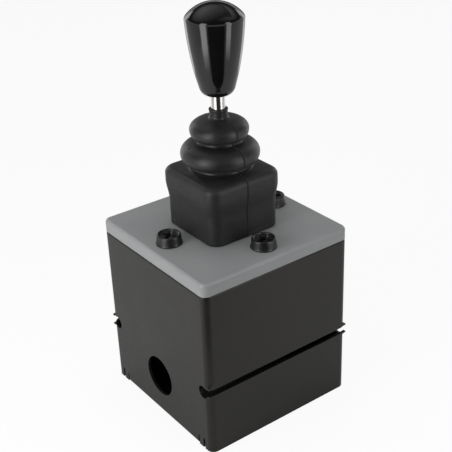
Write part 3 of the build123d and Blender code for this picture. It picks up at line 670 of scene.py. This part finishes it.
# ------------------------------------------------------------------ knob
KNOB_SIDES = 96
KNOB_TOP = 283.4
DOME_RADIUS = 23.9
DOME_REACH = 17.9      # radius at which the dome turns into the rim
RIM = ((18.43, 274.64), (18.82, 273.84), (18.99, 273.0), (19.01, 272.2))
FLANK = ((19.01, 272.2), (18.66, 267.0), (17.75, 258.5), (16.5, 250.0), (14.55, 239.5),
         (12.15, 230.2), (11.35, 227.6), (10.1, 225.6), (8.2, 224.2), (6.2, 223.6), (5.3, 223.5))
SOCKET = ((4.95, 223.6), (4.75, 223.9), (4.75, 225.94), (7.56, 225.94), (7.56, 246.06),
          (0.0, 246.06))    # clears the rod, then holds the threaded insert


def lathe(profile, count):
    """A closed turned form from (radius, level) points; its first and last are on the axis."""
    turns = [2 * math.pi * i / count for i in range(count)]
    rings = [np.array([(r * math.cos(t), r * math.sin(t), z) for t in turns])
             for r, z in profile[1:-1]]
    points, faces = skin(rings, False)
    first, last = len(points), len(points) + 1
    points = np.concatenate([points, [(0.0, 0.0, profile[0][1]), (0.0, 0.0, profile[-1][1])]])
    end = first - count
    for i in range(count):
        k = (i + 1) % count
        faces.append((first, k, i))
        faces.append((last, end + i, end + k))
    return points, [face[::-1] for face in faces]


def curve_through(points, steps):
    """A smooth curve through (radius, level) points, steps to each stretch."""
    out = []
    for i in range(len(points) - 1):
        near = (points[max(i - 1, 0)], points[i], points[i + 1],
                points[min(i + 2, len(points) - 1)])
        for t in (k / steps for k in range(steps)):
            out.append(tuple(
                0.5 * (2 * b + (c - a) * t + (2 * a - 5 * b + 4 * c - d) * t * t
                       + (3 * b - a - 3 * c + d) * t ** 3)
                for a, b, c, d in zip(*near)))
    out.append(points[-1])
    return out


dome = [(DOME_RADIUS * math.sin(a), KNOB_TOP - DOME_RADIUS * (1 - math.cos(a)))
        for a in np.linspace(0.0, math.asin(DOME_REACH / DOME_RADIUS), 26)]
rim = curve_through([dome[-1], *RIM], 6)
flank = curve_through(FLANK, 8)
knob_points, knob_faces = lathe(dome[:-1] + rim[:-1] + flank + list(SOCKET), KNOB_SIDES)
knob_moulding = mesh_piece("knob_moulding", knob_points, knob_faces, gloss)
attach(knob_moulding, "lever")
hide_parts("knob")


# ------------------------------------------------------------------ studio, in metres
CAMERA_AZIMUTH = 54.24      # degrees, from -Y towards +X
WHITE = (1.0, 1.0, 1.0)
CARD_RISE = 0.06            # height over which a card's low end fades in


def around(azimuth, distance, height):
    """A place beside the object."""
    a = math.radians(azimuth)
    return (distance * math.sin(a), -distance * math.cos(a), height)


def area_lamp(name, at, towards, size, power):
    """A soft lamp that lights the object and isn't seen, in gloss or straight."""
    lamp = bpy.data.lights.new(name, "AREA")
    lamp.shape = "RECTANGLE"
    lamp.size, lamp.size_y = size
    lamp.energy = power
    made = bpy.data.objects.new(name, lamp)
    bpy.context.scene.collection.objects.link(made)
    made.location = at
    away = (Vector(towards) - Vector(at)).normalized()
    made.rotation_euler = away.to_track_quat("-Z", "Y").to_euler()
    made.visible_camera = False
    made.visible_glossy = False


def white_where_seen(tree, inner, share, gloss_share):
    """Mixes a shader with plain white for camera, glossy and transmission rays.

    share is how white the camera sees it, and gloss_share how white gloss does.
    """
    path = node(tree, "ShaderNodeLightPath")
    straight = maths(tree, "MAXIMUM", (path, "Is Camera Ray"), (path, "Is Transmission Ray"))
    straight = maths(tree, "MULTIPLY", straight, share)
    shiny = maths(tree, "MULTIPLY", (path, "Is Glossy Ray"), gloss_share)
    amount = maths(tree, "MAXIMUM", straight, shiny)
    kind = "ShaderNodeEmission"
    if inner.bl_idname == "ShaderNodeBackground":
        kind = "ShaderNodeBackground"
    white = node(tree, kind, {"Color": WHITE, "Strength": 1.0})
    return node(tree, "ShaderNodeMixShader", {0: amount, 1: inner, 2: white})


world = bpy.data.worlds.new("studio")
bpy.context.scene.world = world
world_tree = emptied_tree(world)
ambient = node(world_tree, "ShaderNodeBackground", {
    "Color": (0.97, 0.985, 1.0), "Strength": 0.30})
sky = white_where_seen(world_tree, ambient, 1.0, 1.0)
node(world_tree, "ShaderNodeOutputWorld", {"Surface": sky})

# a pale floor; close to the object it is painted dimmer in gloss, a painted shadow of the object
# seen in reflections, and under the open box a dark patch is painted shade of the box's inside
FLOOR_REACH = 6.0
# half width of the dark patch painted as shade under the open box
PAINTED_SHADE_HALF = 0.0585
floor = placed_mesh("floor", [(x * FLOOR_REACH, y * FLOOR_REACH, 0.0)
                              for x, y in ((-1, -1), (1, -1), (1, 1), (-1, 1))], [(0, 1, 2, 3)])
floor_look = bpy.data.materials.new("pale_floor")
floor_tree = emptied_tree(floor_look)
floor_place = node(floor_tree, "ShaderNodeTexCoord"), "Object"
floor_far = node(floor_tree, "ShaderNodeVectorMath", {0: floor_place}, operation="LENGTH")
# painted shadow: gloss sees less white near the object, as if its shadow darkened the floor there
painted_shadow_gloss_share = span(floor_tree, (floor_far, "Value"), 0.09, 0.24, 0.21, 0.62)
paper = node(floor_tree, "ShaderNodeBsdfDiffuse", {"Color": (0.90, 0.90, 0.90)})
pale = white_where_seen(floor_tree, paper, 0.92, painted_shadow_gloss_share)
floor_axes = node(floor_tree, "ShaderNodeSeparateXYZ", {0: floor_place})
off_centre = maths(floor_tree, "MAXIMUM", maths(floor_tree, "ABSOLUTE", (floor_axes, "X")),
                   maths(floor_tree, "ABSOLUTE", (floor_axes, "Y")))
# painted shade: inside the box's footprint the floor is a dark diffuse patch instead of the pale
# white
outside = maths(floor_tree, "GREATER_THAN", off_centre, PAINTED_SHADE_HALF)
painted_shade_patch = node(floor_tree, "ShaderNodeBsdfDiffuse", {"Color": (0.03, 0.03, 0.03)})
floor_seen = node(floor_tree, "ShaderNodeMixShader", {0: outside, 1: painted_shade_patch, 2: pale})
node(floor_tree, "ShaderNodeOutputMaterial", {"Surface": floor_seen})
floor.data.materials.append(floor_look)
floor.location = (0, 0, -0.0002)
floor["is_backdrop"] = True

for name, turn, power in (("left_box", -50, 1.5), ("right_box", 50, 0.5)):
    area_lamp(name, around(CAMERA_AZIMUTH + turn, 0.46, 0.24), (0, 0, 0.16), (0.16, 0.46), power)
area_lamp("top_box", (-0.10, 0.05, 0.95), (0, 0, 0.15), (0.7, 0.7), 2.6)


def gloss_panel(name, corners, colour, strength, fade):
    """A panel seen only in gloss; fade(tree, where) makes the node that thins it out."""
    made = placed_mesh(name, corners, [(0, 1, 2, 3)])
    look = bpy.data.materials.new(name)
    tree = emptied_tree(look)
    where = node(tree, "ShaderNodeTexCoord"), "Object"
    clear = node(tree, "ShaderNodeBsdfTransparent")
    light = node(tree, "ShaderNodeEmission", {"Color": colour, "Strength": strength})
    mixed = node(tree, "ShaderNodeMixShader", {0: fade(tree, where), 1: clear, 2: light})
    node(tree, "ShaderNodeOutputMaterial", {"Surface": mixed})
    made.data.materials.append(look)
    for ray in ("camera", "diffuse", "shadow", "transmission"):
        setattr(made, "visible_" + ray, False)
    return made


def gloss_card(name, azimuth, distance, half_width, low, high, colour, strength):
    """A standing card, faded at its sides and low end: a soft box, or a dark flag if it is dim."""
    def fade(tree, where):
        axes = node(tree, "ShaderNodeSeparateXYZ", {0: where})
        off_middle = maths(tree, "ABSOLUTE", (axes, "X"))
        across = span(tree, off_middle, half_width * 0.7, half_width, 1.0, 0.0)
        upward = span(tree, (axes, "Z"), low, low + CARD_RISE, 0.0, 1.0)
        return maths(tree, "MULTIPLY", across, upward)

    corners = [(-half_width, 0, low), (half_width, 0, low),
               (half_width, 0, high), (-half_width, 0, high)]
    made = gloss_panel(name, corners, colour, strength, fade)
    made.location = around(azimuth, distance, 0.0)
    made.rotation_euler = (0, 0, math.radians(azimuth))
    made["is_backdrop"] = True


def gloss_ceiling(name, centre, height, solid, faded, strength):
    """A round level panel overhead that fades out between two radii."""
    def fade(tree, where):
        far = node(tree, "ShaderNodeVectorMath", {0: where}, operation="LENGTH")
        return span(tree, (far, "Value"), solid, faded, 1.0, 0.0)

    corners = [(-faded, -faded, 0), (faded, -faded, 0), (faded, faded, 0), (-faded, faded, 0)]
    made = gloss_panel(name, corners, WHITE, strength, fade)
    made.location = (*centre, height)
    made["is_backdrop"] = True


gloss_card("left_strip", CAMERA_AZIMUTH - 44, 0.22, 0.053, 0.085, 0.45, WHITE, 4.9)
gloss_card("right_strip", CAMERA_AZIMUTH + 52.5, 0.22, 0.043, 0.105, 0.45, WHITE, 3.9)
gloss_card("dark_gap", CAMERA_AZIMUTH + 5, 0.20, 0.155, -0.06, 0.25, (1.0, 0.95, 0.9), 0.04)
gloss_card("grey_back", CAMERA_AZIMUTH + 180, 0.9, 0.42, 0.0, 0.45, WHITE, 0.16)
gloss_card("left_rim", CAMERA_AZIMUTH - 141, 0.5, 0.085, -0.08, 0.5, WHITE, 2.2)
gloss_card("right_rim", CAMERA_AZIMUTH + 142, 0.5, 0.075, -0.08, 0.5, WHITE, 2.0)
# the unlit ceiling of the studio, with two panels lit from below
gloss_ceiling("ceiling", (0, 0), 1.0, 1.5, 3.2, 0.05)
for name, turn in (("panel_left", -44), ("panel_right", 44)):
    x, y, z = around(CAMERA_AZIMUTH + 180 + turn, 0.34, 0.8)
    gloss_ceiling(name, (x, y), z, 0.08, 0.50, 0.95)

# ------------------------------------------------------------------ camera
camera_data = bpy.data.cameras.new("camera")
camera_data.lens = 76.017
camera_data.sensor_width = 36.0
camera_data.clip_start, camera_data.clip_end = 0.02, 20.0
camera = bpy.data.objects.new("camera", camera_data)
bpy.context.scene.collection.objects.link(camera)
azimuth, elevation, roll = 0.9467, 0.4860, -0.0412
at = (0.47012, -0.33626, 0.43354)
back = Vector((math.sin(azimuth) * math.cos(elevation), -math.cos(azimuth) * math.cos(elevation),
               math.sin(elevation)))
right = Vector((math.cos(azimuth), math.sin(azimuth), 0.0))
up = back.cross(right)
right_rolled = math.cos(roll) * right + math.sin(roll) * up
up_rolled = -math.sin(roll) * right + math.cos(roll) * up
camera.matrix_world = Matrix((
    (right_rolled.x, up_rolled.x, back.x, at[0]),
    (right_rolled.y, up_rolled.y, back.y, at[1]),
    (right_rolled.z, up_rolled.z, back.z, at[2]),
    (0.0, 0.0, 0.0, 1.0),
))
bpy.context.scene.camera = camera
bpy.context.scene.view_settings.view_transform = "Standard"

bpy.context.view_layer.update()
low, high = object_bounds()
